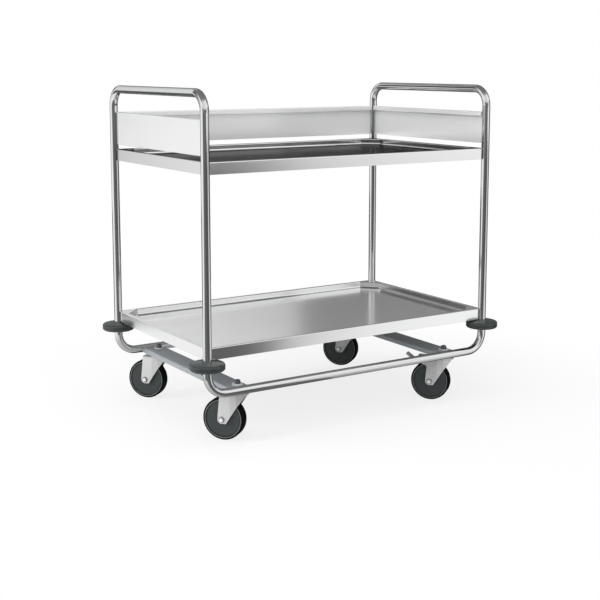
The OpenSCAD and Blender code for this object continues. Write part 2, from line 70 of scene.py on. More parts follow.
class Corner(Enum):
    """A caster's corner of the trolley, with the place of its swivel in metres."""

    FL = (-0.380, -0.256)
    BL = (-0.380, 0.256)
    FR = (0.380, -0.256)
    BR = (0.380, 0.256)

    @property
    def tag(self) -> str:
        """The ending of this corner's node and body names."""
        return self.name.lower()

    @property
    def braked(self) -> bool:
        """Whether this corner's caster has a brake."""
        return self.value[0] > 0


class Element(Enum):
    """What can be selected of a mesh, with the name of the mesh's list of it."""

    FACE = "polygons"
    EDGE = "edges"
    VERT = "vertices"


class Net:
    """Adds and joins nodes in one node tree."""

    # The place of the colour among a Mix node's results
    MIXED_COLOUR = 2

    def __init__(self, tree: Tree) -> None:
        """Keeps the tree that gets the nodes."""
        self.tree = tree

    @classmethod
    def cleared(cls, owner: Material | bpy.types.World) -> "Net":
        """Empties the tree of a material or a world.

        Args:
            owner: the material or the world.

        Returns:
            The empty tree's net.
        """
        owner.use_nodes = True
        owner.node_tree.nodes.clear()
        return cls(owner.node_tree)

    def add(self, kind: str, settings: dict | None = None, **inputs: object) -> Node:
        """Adds a node, sets its options, and fills or joins its inputs.

        Args:
            kind: the node's type.
            settings: options of the node itself.
            inputs: an input's identifier, or its name with _ for a space, and its value or the socket
                to join to it.

        Returns:
            The new node.
        """
        node = self.tree.nodes.new(kind)
        for key, value in (settings or {}).items():
            setattr(node, key, value)
        sockets = {socket.identifier: socket for socket in node.inputs}
        for key, value in inputs.items():
            self.feed(sockets.get(key) or node.inputs[key.replace("_", " ")], value)
        return node

    def feed(self, socket: Socket, value: object) -> None:
        """Joins a socket to an input, or sets the input's value.

        Args:
            socket: the input.
            value: a socket to join, or a plain value.
        """
        if isinstance(value, Socket):
            self.tree.links.new(value, socket)
        elif socket.type == "RGBA" and len(value) == 3:
            socket.default_value = (*value, 1.0)
        else:
            socket.default_value = value

    def group(self, tree: Tree, **values: float) -> Outputs:
        """The results of a shared group that is given a finish's own values."""
        return self.add("ShaderNodeGroup", {"node_tree": tree}, **values).outputs

    def place(self) -> Socket:
        """The place on the object, in metres."""
        return self.add("ShaderNodeTexCoord").outputs["Object"]

    def math(self, operation: str, a: object, b: object = 0.0, clamp: bool = False) -> Socket:
        """The result of a Math node on two values, kept between 0 and 1 where clamp is set."""
        settings = {"operation": operation, "use_clamp": clamp}
        return self.add("ShaderNodeMath", settings, Value=a, Value_001=b).outputs[0]

    def vector(self, operation: str, a: object, b: object, output: str = "Vector") -> Socket:
        """The named result of a Vector Math node on two vectors."""
        node = self.add("ShaderNodeVectorMath", {"operation": operation}, Vector=a, Vector_001=b)
        return node.outputs[output]

    def mix(self, share: object, a: object, b: object) -> Socket:
        """A mix of two colours by the second one's share."""
        node = self.add("ShaderNodeMix", {"data_type": "RGBA"}, Factor_Float=share, A_Color=a, B_Color=b)
        return node.outputs[self.MIXED_COLOUR]

    def blend(self, share: object, a: object, b: object) -> Socket:
        """A mix of two values by the second one's share."""
        return self.add("ShaderNodeMix", Factor_Float=share, A_Float=a, B_Float=b).outputs[0]

    def ease(self, value: object, low: float, high: float, start: float = 0.0, end: float = 1.0) -> Socket:
        """A smooth step over a value, from the level start at low to the level end at high."""
        return self.add("ShaderNodeMapRange", {"interpolation_type": "SMOOTHSTEP"}, Value=value, From_Min=low,
                        From_Max=high, To_Min=start, To_Max=end).outputs[0]

    def noise(self, place: Socket, scale: object, detail: float, roughness: float,
              distortion: float = 0.0) -> Socket:
        """Cloudy noise from 0 to 1, with a scale per metre."""
        return self.add("ShaderNodeTexNoise", Vector=place, Scale=scale, Detail=detail, Roughness=roughness,
                        Distortion=distortion).outputs[0]

    def rounded(self, radius: object, samples: int) -> Socket:
        """The surface's normal with the edges rounded off, found with a number of samples."""
        return self.add("ShaderNodeBevel", {"samples": samples}, Radius=radius).outputs[0]

    def ramp(self, factor: Socket, stops: Stops) -> Socket:
        """A grey ramp over a value.

        Args:
            factor: the value, from 0 to 1.
            stops: each stop's place and grey level.

        Returns:
            The ramp's colour socket.
        """
        node = self.add("ShaderNodeValToRGB", Fac=factor)
        elements = node.color_ramp.elements
        while len(elements) < len(stops):
            elements.new(1.0)
        for element, (place, level) in zip(elements, stops):
            element.position = place
            element.color = (level, level, level, 1.0)
        return node.outputs["Color"]


class EffectGroups:
    """The shader node groups that several finishes share, each built once."""

    # Faces that look along X by more than this are brushed upright
    UPRIGHT = 0.75
    # How sharply the edge mask rises with the turn of the surface; it marks wear, and on zinc also paints a
    # highlight along creases
    EDGE_RISE = 6.0
    # How far a place may be shut in and still count as open
    STILL_OPEN = 0.25

    @staticmethod
    def _start(name: str, inputs: dict[str, float], *outputs: str) -> tuple[Net, Outputs, Node]:
        """Makes an empty group with value sockets.

        Args:
            name: the group's name.
            inputs: each input's name and usual value.
            outputs: the outputs' names.

        Returns:
            The group's net, its input sockets, and its output node.
        """
        tree = bpy.data.node_groups.new(name, "ShaderNodeTree")
        for key, value in inputs.items():
            socket = tree.interface.new_socket(key, in_out="INPUT", socket_type="NodeSocketFloat")
            socket.default_value = value
        for key in outputs:
            tree.interface.new_socket(key, in_out="OUTPUT", socket_type="NodeSocketFloat")
        net = Net(tree)
        return net, net.add("NodeGroupInput").outputs, net.add("NodeGroupOutput")

    @cached_property
    def brushing(self) -> Tree:
        """Fine lines along the sheet: lengthwise, or upright on faces that look along X.

        Returns:
            A group that gives Grain.
        """
        net, given, end = self._start("brushing", {"Along": 4.0, "Across": 420.0}, "Grain")
        place = net.place()
        normal = net.add("ShaderNodeNewGeometry").outputs["Normal"]
        sideways = net.add("ShaderNodeSeparateXYZ", Vector=normal).outputs["X"]
        upright = net.math("GREATER_THAN", net.math("ABSOLUTE", sideways), self.UPRIGHT)
        grains = []
        for order in (("Along", "Across", "Across"), ("Across", "Across", "Along")):
            axes = {axis: given[key] for axis, key in zip("XYZ", order)}
            scale = net.add("ShaderNodeCombineXYZ", **axes)
            stretched = net.vector("MULTIPLY", place, scale.outputs[0])
            grains.append(net.noise(stretched, scale=1.0, detail=5.0, roughness=0.65))
        net.feed(end.inputs["Grain"], net.blend(upright, *grains))
        return net.tree

    @cached_property
    def smudges(self) -> Tree:
        """Soft cloudy patches, as handling and wiping leave on metal.

        Returns:
            A group that gives Patches.
        """
        net, given, end = self._start("smudges", {"Size": 6.0, "Contrast": 1.6}, "Patches")
        cloud = net.noise(net.place(), given["Size"], detail=4.0, roughness=0.55, distortion=0.6)
        spread = net.math("MULTIPLY", net.math("SUBTRACT", cloud, 0.5), given["Contrast"])
        net.feed(end.inputs["Patches"], net.math("ADD", spread, 0.5, clamp=True))
        return net.tree

    @cached_property
    def edges(self) -> Tree:
        """A mask along edges and creases, broken up as edges wear; on zinc its lighter tone is partly a
        painted highlight along creases.

        Returns:
            A group that gives Worn.
        """
        net, given, end = self._start("edge_wear", {"Reach": 0.0012, "Amount": 1.0}, "Worn")
        rounded = net.rounded(given["Reach"], samples=4)
        flat = net.add("ShaderNodeNewGeometry").outputs["Normal"]
        turn = net.math("SUBTRACT", 1.0, net.vector("DOT_PRODUCT", rounded, flat, "Value"))
        breaks = net.noise(net.place(), scale=70.0, detail=3.0, roughness=0.6)
        kept = net.math("MULTIPLY", net.math("MULTIPLY", turn, self.EDGE_RISE, clamp=True), breaks)
        net.feed(end.inputs["Worn"], net.math("MULTIPLY", kept, given["Amount"], clamp=True))
        return net.tree

    @cached_property
    def crevices(self) -> Tree:
        """A mask in corners and narrow gaps, where less light reaches: it paints shade there, together with
        dirt.

        Returns:
            A group that gives Grime.
        """
        net, given, end = self._start("crevices", {"Reach": 0.006, "Amount": 1.0}, "Grime")
        around = net.add("ShaderNodeAmbientOcclusion", {"samples": 8}, Distance=given["Reach"])
        shut = net.math("SUBTRACT", 1.0, around.outputs["AO"])
        past = net.math("SUBTRACT", shut, self.STILL_OPEN, clamp=True)
        net.feed(end.inputs["Grime"], net.math("MULTIPLY", past, given["Amount"], clamp=True))
        return net.tree

    @cached_property
    def plating(self) -> Tree:
        """The faint crystals of a zinc coat.

        Returns:
            A group that gives Flake.
        """
        net, given, end = self._start("plating", {"Crystals": 260.0, "Contrast": 0.25}, "Flake")
        place = net.place()
        cells = net.add("ShaderNodeTexVoronoi", Vector=place, Scale=given["Crystals"], Randomness=1.0)
        grey = net.add("ShaderNodeSeparateColor", Color=cells.outputs["Color"]).outputs[0]
        cloud = net.noise(place, scale=40.0, detail=4.0, roughness=0.6)
        net.feed(end.inputs["Flake"], net.blend(given["Contrast"], cloud, grey))
        return net.tree

    @cached_property
    def moulding(self) -> Tree:
        """The fine grain of a moulded skin.

        Returns:
            A group that gives Grain and Cloud.
        """
        net, given, end = self._start("moulding", {"Fineness": 900.0}, "Grain", "Cloud")
        place = net.place()
        net.feed(end.inputs["Grain"], net.noise(place, given["Fineness"], detail=2.0, roughness=0.5))
        net.feed(end.inputs["Cloud"], net.noise(place, scale=28.0, detail=4.0, roughness=0.6))
        return net.tree


@dataclass(frozen=True)
class Finish:
    """What every finish has. Each kind of finish adds its skin, its shine and the colour of its edges.

    Attributes:
        name: the material's name.
        light: the lighter colour of the surface.
        dark: the darker colour of the surface.
        roughness: the middle of the surface's roughness.
        spread: how far the roughness strays from the middle.
        depth: how deep the relief is, in metres.
        worn: how strongly the edge mask shows: wear, and on zinc also a painted highlight along creases.
        grime: how strongly the corners are darkened: painted shade, together with dirt.
    """

    name: str
    light: Colour
    dark: Colour
    roughness: float
    spread: float
    depth: float
    worn: float
    grime: float

    # How far the edge mask reaches from an edge, how strongly the relief shows, and the colour of the painted
    # shade and dirt in corners
    REACH = 0.0012
    RELIEF = 0.5
    SHADE_AND_DIRT = (0.05, 0.05, 0.05)

    def build(self, effects: EffectGroups) -> Material:
        """Builds the material.

        Args:
            effects: the shared groups.

        Returns:
            The material.
        """
        material = bpy.data.materials.new(self.name)
        net = Net.cleared(material)
        shader = net.add("ShaderNodeBsdfPrincipled", **self.shine())
        net.add("ShaderNodeOutputMaterial", Surface=shader.outputs[0])
        tones, dull, relief = self.skin(net, effects)
        worn = net.group(effects.edges, Reach=self.REACH, Amount=self.worn)["Worn"]
        # Darkening corners by how shut in they are paints shade there, together with dirt
        grime = net.group(effects.crevices, Amount=self.grime)["Grime"]
        tone = net.mix(worn, net.mix(tones, self.dark, self.light), self.edge_tone)
        net.feed(shader.inputs["Base Color"], net.mix(grime, tone, self.SHADE_AND_DIRT))
        low, high = self.roughness - self.spread, self.roughness + self.spread
        net.feed(shader.inputs["Roughness"], net.blend(dull, low, high))
        bump = net.add("ShaderNodeBump", Strength=self.RELIEF, Distance=self.depth, **relief)
        net.feed(shader.inputs["Normal"], bump.outputs[0])
        return material


@dataclass(frozen=True)
class MetalFinish(Finish):
    """Metal with smudges over a fine pattern, which each kind of metal adds.

    Attributes:
        metallic: how far the surface shines as bare metal does.
        glance: how much of the light at a low angle it throws back.
        edge_tone: the colour under the edge mask: wear, and on zinc, lighter than the surface, also a painted
            highlight along creases.
        fold: the radius of folded edges, in metres.
        patch: how fine the smudges are, per metre.
        cloudy: the smudges' share in the tone.
        dulled: the smudges' share in the roughness.
    """

    metallic: float = 1.0
    glance: float = 1.0
    edge_tone: Colour = (0.93, 0.93, 0.94)
    fold: float = 0.0012
    patch: float = 6.0
    cloudy: float = 0.45
    dulled: float = 0.5

    # Whether the relief follows the pattern, or else the smudges, and the samples that round the edges
    LINED = True
    SAMPLES = 4

    def shine(self) -> dict[str, object]:
        """The shader's settings for shine."""
        return {"Metallic": self.metallic, "Specular_Tint": (self.glance,) * 3}

    def skin(self, net: Net, effects: EffectGroups) -> Skin:
        """Weaves the pattern and the smudges.

        Args:
            net: the net of the material's nodes.
            effects: the shared groups.

        Returns:
            The patterns of the tone and the roughness, and the bump's inputs.
        """
        pattern = self.pattern(net, effects)
        patches = net.group(effects.smudges, Size=self.patch)["Patches"]
        relief = {"Height": pattern if self.LINED else patches,
                  "Normal": net.rounded(self.fold, self.SAMPLES)}
        return net.blend(self.cloudy, pattern, patches), net.blend(self.dulled, pattern, patches), relief


@dataclass(frozen=True)
class BrushedFinish(MetalFinish):
    """Steel with fine lines along it.

    Attributes:
        along: how often the lines change along their run, per metre.
        across: how often they change across it, per metre.
    """

    depth: float = 0.00002
    worn: float = 0.5
    grime: float = 0.3
    along: float = 4.0
    across: float = 420.0

    def pattern(self, net: Net, effects: EffectGroups) -> Socket:
        """The fine lines."""
        return net.group(effects.brushing, Along=self.along, Across=self.across)["Grain"]


@dataclass(frozen=True)
class PlatedFinish(MetalFinish):
    """Pressed steel with a zinc or bright coat.

    Attributes:
        crystals: how many crystals of the coat there are per metre.
    """

    depth: float = 0.0001
    worn: float = 0.6
    grime: float = 1.3
    edge_tone: Colour = (0.9, 0.9, 0.9)
    fold: float = 0.0006
    patch: float = 14.0
    cloudy: float = 0.4
    crystals: float = 260.0

    RELIEF = 0.35
    LINED = False
    SAMPLES = 6

    def pattern(self, net: Net, effects: EffectGroups) -> Socket:
        """The crystals of the coat."""
        return net.group(effects.plating, Crystals=self.crystals)["Flake"]


@dataclass(frozen=True)
class MouldedFinish(Finish):
    """Rubber or plastic with a moulded skin.

    Attributes:
        fineness: how fine the skin's grain is, per metre.
        gloss: how much light the skin throws back.
        paler: how scuffs differ from the lighter colour, as times it and an amount added.
    """

    depth: float = 0.00006
    worn: float = 0.3
    grime: float = 1.4
    fineness: float = 900.0
    gloss: float = 0.5
    paler: Span = (2.6, 0.02)

    REACH = 0.002
    # The colour of the painted shade and dirt in corners
    SHADE_AND_DIRT = (0.003, 0.003, 0.003)

    @property
    def edge_tone(self) -> Colour:
        """The colour of scuffed edges."""
        times, added = self.paler
        return tuple(min(1.0, times * level + added) for level in self.light)

    def shine(self) -> dict[str, object]:
        """The shader's settings for shine."""
        return {"Specular_IOR_Level": self.gloss}

    def skin(self, net: Net, effects: EffectGroups) -> Skin:
        """The patterns of the tone and the roughness, and the bump's inputs."""
        skin = net.group(effects.moulding, Fineness=self.fineness)
        return skin["Cloud"], skin["Cloud"], {"Height": skin["Grain"]}


SATIN: tuple[Colour, Colour] = ((0.96, 0.96, 0.965), (0.89, 0.895, 0.90))
TUBE = BrushedFinish("polished_tube", (0.84, 0.845, 0.85), (0.76, 0.765, 0.77), 0.09, 0.02, along=3.0,
                     across=300.0, depth=0.000001, glance=0.4, grime=1.1)
SHEET = BrushedFinish("satin_sheet", *SATIN, 0.17, 0.04)
UPPER_SHEET = BrushedFinish("satin_upper_sheet", *SATIN, 0.13, 0.03, glance=0.0, fold=0.0005)
GALLERY = BrushedFinish("satin_gallery", *SATIN, 0.2, 0.04, metallic=0.45)
CHANNEL = PlatedFinish("matt_channel", (0.44, 0.47, 0.49), (0.38, 0.41, 0.43), 0.46, 0.06, metallic=0.15,
                       crystals=200.0)
# Its edges and creases come out lighter than the surface: wear, and also a painted highlight along the forks'
# creases
ZINC = PlatedFinish("zinc_plate", (0.84, 0.84, 0.84), (0.76, 0.76, 0.765), 0.26, 0.012, metallic=0.6,
                    fold=0.0015)
BRIGHT = PlatedFinish("bright_plate", (0.97, 0.97, 0.98), (0.92, 0.92, 0.93), 0.25, 0.05, metallic=0.3,
                      crystals=500.0)
# Dark grey so that a dark ring shows round the bright cap: partly the axle's own tone, partly painted shade
# round the cap
AXLE = PlatedFinish("grey_axle", (0.36, 0.37, 0.38), (0.28, 0.29, 0.30), 0.35, 0.06, metallic=0.4,
                    crystals=400.0)
WASHER = PlatedFinish("white_washer", (0.97, 0.97, 0.98), (0.93, 0.93, 0.94), 0.3, 0.05, metallic=0.05,
                      crystals=500.0, grime=0.0)
BOLT = PlatedFinish("dark_bolt", (0.26, 0.27, 0.28), (0.17, 0.18, 0.19), 0.38, 0.08, crystals=500.0)
BUMPER = MouldedFinish("bumper_rubber", (0.043, 0.052, 0.051), (0.034, 0.042, 0.041), 0.34, 0.06)
WHEEL = MouldedFinish("wheel_centre", (0.048, 0.056, 0.056), (0.038, 0.045, 0.045), 0.46, 0.06)
RIM_RING = MouldedFinish("rim_ring", (0.25, 0.26, 0.26), (0.19, 0.2, 0.2), 0.32, 0.06)
TYRE = MouldedFinish("tyre_rubber", (0.005, 0.006, 0.007), (0.003, 0.004, 0.005), 0.66, 0.08, fineness=700.0,
                     gloss=0.05)
BUSH = MouldedFinish("bush_plastic", (0.72, 0.72, 0.69), (0.62, 0.62, 0.6), 0.45, 0.05)


@dataclass(frozen=True)
class Lamp:
    """A soft square lamp that metal doesn't mirror.

    Attributes:
        name: the lamp's name.
        place: where it stands.
        aim: where it points.
        size: its side.
        power: its power in watts.
    """

    name: str
    place: Point
    aim: Point
    size: float
    power: float

    def hang(self) -> None:
        """Adds the lamp to the scene."""
        data = bpy.data.lights.new(self.name, "AREA")
        data.size = self.size
        data.energy = self.power
        lamp = bpy.data.objects.new(self.name, data)
        lamp.location = self.place
        lamp.rotation_euler = (Vector(self.aim) - Vector(self.place)).to_track_quat("-Z", "Y").to_euler()
        lamp.visible_glossy = False
        bpy.context.scene.collection.objects.link(lamp)


@dataclass
class Studio:
    """The camera, the light and the floor.

    Metal mirrors a studio with dark and bright parts. A direction's compass place runs from 0 to 1 round
    the trolley, with the photograph's front at 0.5 and its right above that. A step says where it starts
    and ends, and the levels there if they aren't 0 and 1.

    Attributes:
        place: the camera's place.
        yaw: how far the camera looks to the right of the trolley's back, in degrees.
        pitch: how far it looks down, in degrees.
        lens: its focal length in millimetres.
        sensor: its sensor's width in millimetres.
        shift: its vertical shift.
        floor_half: half of the floor's width.
        floor_drop: how far the floor lies below the wheels.
        floor_colour: the floor's own colour.
        pale: the step, by distance, of the share of plain white in the floor.
        ambient: the level of light from all round.
        floor_stops: grey levels that the floor shows to metal, by compass place.
        close_stops: the same close to the trolley.
        away: the step, by distance, from the close levels to the others.
        flag_stops: grey levels over the edge of the dark flag on the floor in front.
        flag_start: how far in front of the trolley's middle that edge starts.
        flag_run: how far it runs to the right for each metre to the front.
        flag_end: the step, by distance, over which the flag fades out.
        side_stops: where dark rings lie on the floor beside and behind the trolley, by compass place.
        ring_stops: grey levels of those rings, by distance.
        near_shadow_stops: the floor's highest level, by distance; darker close to the trolley, it is a
            painted shadow of the trolley in what metal mirrors.
        reach: the distance at the end of the ramps by distance.
        low_stops: grey levels of the surroundings near the horizon, by compass place.
        high_stops: the same higher up.
        crest_stops: the same above those.
        rise: the step, by height, from the low levels to the high ones.
        crest: the step, by height, from those to the crest's.
        overhead: the level of the surroundings above.
        top: the step, by height, from the crest's levels to it.
        aside: how much right and back count in a direction to the back right.
        behind: the step, by that, of how much lower the top comes.
        leftward: the step, by how far right it is, of how much lower the top comes on the left.
        lamps: the lamps.
    """

    place: Point = (-1.9866, -3.0949, 1.0760)
    yaw: float = 32.653
    pitch: float = 8.026
    lens: float = 70.21
    sensor: float = 36.0
    shift: float = -0.12
    floor_half: float = 60.0
    floor_drop: float = 0.0006
    floor_colour: Colour = (0.9, 0.9, 0.9)
    pale: Step = (0.6, 1.4, 0.8, 1.0)
    ambient: float = 0.44
    floor_stops: Stops = (
        (0.0, 0.16), (0.150, 0.18), (0.158, 1.0), (0.345, 1.0), (0.375, 0.42), (0.395, 0.15), (0.595, 0.15),
        (0.625, 1.0), (0.722, 1.0), (0.75, 0.2), (1.0, 0.16))
    close_stops: Stops = (
        *floor_stops[:3], (0.425, 1.0), (0.445, 0.45), (0.465, 0.15), *floor_stops[6:])
    away: Step = (0.85, 1.05)
    flag_stops: Stops = ((0.0, 1.0), (0.3, 0.85), (0.48, 0.62), (0.54, 0.3), (0.58, 0.12), (1.0, 0.1))
    flag_start: float = 0.43
    flag_run: float = 2.2
    flag_end: Step = (12.0, 15.0)
    side_stops: Stops = ((0.0, 1.0), (0.225, 1.0), (0.24, 0.0), (0.76, 0.0), (0.775, 1.0), (1.0, 1.0))
    ring_stops: Stops = ((0.0, 1.0), (0.155, 1.0), (0.185, 0.14), (0.5, 0.14), (0.6, 1.0), (1.0, 1.0))
    near_shadow_stops: Stops = (
        (0.0, 0.25), (0.03, 0.32), (0.05, 0.48), (0.08, 0.66), (0.12, 0.95), (0.15, 1.0), (1.0, 1.0))
    reach: float = 10.0
    low_stops: Stops = (
        (0.0, 0.3), (0.04, 0.2), (0.125, 0.05), (0.14, 1.0), (0.166, 1.0), (0.178, 0.05), (0.215, 0.05),
        (0.24, 1.0), (0.345, 1.0), (0.375, 0.4), (0.395, 0.2), (0.595, 0.2), (0.615, 0.12), (0.64, 0.12),
        (0.658, 1.0), (0.735, 1.0), (0.76, 0.2), (1.0, 0.16))
    high_stops: Stops = (
        (0.0, 0.72), (0.02, 0.96), (0.045, 0.96), (0.07, 0.3), (0.11, 0.2), (0.125, 1.0), (0.164, 1.0),
        (0.178, 0.08), (0.205, 0.08), (0.25, 1.0), (0.38, 0.8), (0.45, 0.7), (0.55, 0.7), (0.62, 0.68),
        (0.85, 0.62), (0.9, 0.5), (0.95, 0.36), (1.0, 0.3))
    crest_stops: Stops = (
        (0.0, 0.25), (0.045, 0.3), (0.075, 0.9), (0.09, 1.0), (0.16, 1.0), (0.172, 0.3), (0.182, 0.15),
        (0.205, 0.15), (0.25, 1.0), (0.38, 1.0), (0.45, 0.75), (0.55, 0.75), (0.62, 1.0), (0.85, 1.0),
        (0.9, 0.5), (0.95, 0.3), (1.0, 0.25))
    rise: Step = (0.18, 0.215)
    crest: Step = (0.26, 0.36)
    overhead: float = 0.2
    top: Step = (0.72, 0.88)
    aside: Span = (0.64, 0.77)
    behind: Step = (0.45, 0.75, 0.0, 0.46)
    leftward: Step = (-0.3, -0.45, 0.0, 0.28)
    lamps: tuple[Lamp, ...] = (
        Lamp("top_light", (-0.4, -0.6, 3.4), (0.0, 0.0, 0.4), 3.2, 70.0),
        Lamp("side_light", (-3.0, 0.6, 1.7), (0.0, 0.0, 0.2), 1.4, 40.0),
        Lamp("front_light", (-2.6, -2.4, 1.5), (0.0, 0.0, 0.3), 1.6, 30.0))

    def build(self) -> None:
        """Makes the camera, the world, the floor and the lamps."""
        self._camera()
        self._world()
        self._floor()
        for lamp in self.lamps:
            lamp.hang()
        bpy.context.scene.view_settings.view_transform = "Standard"

    def _camera(self) -> None:
        """Sets the camera where the photograph was taken."""
        data = bpy.data.cameras.new("camera")
        data.lens = self.lens
        data.sensor_width = self.sensor
        data.shift_y = self.shift
        camera = bpy.data.objects.new("camera", data)
        camera.location = self.place
        camera.rotation_euler = (math.radians(90.0 - self.pitch), 0.0, math.radians(-self.yaw))
        bpy.context.scene.collection.objects.link(camera)
        bpy.context.scene.camera = camera

    def _round(self, net: Net, direction: Socket) -> tuple[Socket, Socket, Socket]:
        """Where a direction lies round the trolley.

        Args:
            net: the net that gets the nodes.
            direction: a direction or a place on the floor.

        Returns:
            How far it lies to the photograph's front, how far to its right, and its compass place.
        """
        turn = math.radians(self.yaw)
        ahead = net.vector("DOT_PRODUCT", direction, (-math.sin(turn), -math.cos(turn), 0.0), "Value")
        right = net.vector("DOT_PRODUCT", direction, (math.cos(turn), -math.sin(turn), 0.0), "Value")
        angle = net.math("ARCTAN2", right, ahead)
        return ahead, right, net.math("ADD", net.math("DIVIDE", angle, math.tau), 0.5)

    @staticmethod
    def _seen(net: Net, rays: Outputs) -> Socket:
        """Whether a Light Path node's ray comes from the camera, straight or through something clear."""
        return net.math("MAXIMUM", rays["Is Camera Ray"], rays["Is Transmission Ray"])

    def _world(self) -> None:
        """A white world that lights softly and shows metal a studio with darker sides."""
        world = bpy.data.worlds.new("studio")
        bpy.context.scene.world = world
        net = Net.cleared(world)
        rays = net.add("ShaderNodeLightPath").outputs
        direction = net.add("ShaderNodeTexCoord").outputs["Generated"]
        ahead, right, compass = self._round(net, direction)
        height = net.add("ShaderNodeSeparateXYZ", Vector=direction).outputs["Z"]
        shown = net.ramp(compass, self.low_stops)
        for step, stops in ((self.rise, self.high_stops), (self.crest, self.crest_stops)):
            shown = net.mix(net.ease(height, *step), shown, net.ramp(compass, stops))
        to_right, to_back = self.aside
        aside = net.math("SUBTRACT", net.math("MULTIPLY", right, to_right),
                            net.math("MULTIPLY", ahead, to_back))
        lowered = net.math("MAXIMUM", net.ease(aside, *self.behind), net.ease(right, *self.leftward))
        top = net.ease(net.math("ADD", height, lowered), *self.top)
        shown = net.mix(top, shown, (self.overhead,) * 3)
        plain = net.mix(rays["Is Glossy Ray"], (self.ambient,) * 3, shown)
        colour = net.mix(self._seen(net, rays), plain, WHITE)
        light = net.add("ShaderNodeBackground", Color=colour, Strength=1.0)
        net.add("ShaderNodeOutputWorld", Surface=light.outputs[0])

    def _floor(self) -> None:
        """A pale floor that keeps a soft shadow, and glows for metal with a painted level that changes round
        the trolley: a painted reflection.
        """
        bpy.ops.mesh.primitive_plane_add(size=2.0 * self.floor_half, location=(0.0, 0.0, -self.floor_drop))
        floor = bpy.context.active_object
        floor.name = "floor"
        material = bpy.data.materials.new("pale_floor")
        net = Net.cleared(material)
        rays = net.add("ShaderNodeLightPath").outputs
        place = net.place()
        distance = net.vector("LENGTH", place, (0.0, 0.0, 0.0), "Value")
        painted_level = self._painted_reflection(net, place, distance)
        # For glossy rays the floor glows with the painted level: painted reflection, with painted shadow near
        # the trolley
        shown = net.add("ShaderNodeEmission", Color=painted_level, Strength=1.0)
        matt = net.add("ShaderNodeBsdfDiffuse", Color=self.floor_colour)
        white = net.add("ShaderNodeEmission", Color=WHITE, Strength=1.0)
        pale = net.math("MULTIPLY", self._seen(net, rays), net.ease(distance, *self.pale))
        paled = net.add("ShaderNodeMixShader", Fac=pale, Shader=matt.outputs[0],
                           Shader_001=white.outputs[0])
        both = net.add("ShaderNodeMixShader", Fac=rays["Is Glossy Ray"], Shader=paled.outputs[0],
                          Shader_001=shown.outputs[0])
        net.add("ShaderNodeOutputMaterial", Surface=both.outputs[0])
        floor.data.materials.append(material)

    def _painted_reflection(self, net: Net, place: Socket, distance: Socket) -> Socket:
        """The painted grey level that the floor glows with for metal, darker close to the trolley as a
        painted shadow.

        Args:
            net: the net of the floor's nodes.
            place: the place on the floor.
            distance: its distance from the trolley's middle.

        Returns:
            The level's colour socket.
        """
        ahead, right, compass = self._round(net, place)
        share = net.math("DIVIDE", distance, self.reach, clamp=True)
        level = net.mix(net.ease(distance, *self.away), net.ramp(compass, self.close_stops),
                           net.ramp(compass, self.floor_stops))
        edge = net.math("SUBTRACT", net.math("SUBTRACT", ahead, self.flag_start),
                           net.math("DIVIDE", right, self.flag_run))
        slant = net.math("ADD", net.math("DIVIDE", edge, distance), 0.5, clamp=True)
        flag = net.mix(net.math("LESS_THAN", right, 0.0), net.ramp(slant, self.flag_stops), WHITE)
        flag = net.mix(net.ease(distance, *self.flag_end), flag, WHITE)
        rings = net.mix(net.ramp(compass, self.side_stops), WHITE, net.ramp(share, self.ring_stops))
        # The near cap darkens the floor close to the trolley: painted shadow in what metal mirrors
        for cap in (flag, rings, net.ramp(share, self.near_shadow_stops)):
            level = net.vector("MINIMUM", level, cap)
        return level


class Wardrobe:
    """Builds each finish once and puts it on nodes."""

    def __init__(self) -> None:
        """Starts with nothing made."""
        self.effects = EffectGroups()
        self.made: dict[str, Material] = {}

    def material(self, finish: Finish) -> Material:
        """The material of a finish.

        Args:
            finish: the finish.

        Returns:
            Its material.
        """
        if finish.name not in self.made:
            self.made[finish.name] = finish.build(self.effects)
        return self.made[finish.name]

    def dress(self, finish: Finish, *nodes: str) -> None:
        """Puts a finish on CAD nodes.

        Args:
            finish: the finish.
            nodes: the nodes' names.
        """
        for node in nodes:
            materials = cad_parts[node].data.materials
            materials.clear()
            materials.append(self.material(finish))
            LOG.info("%s wears %s", node, finish.name)


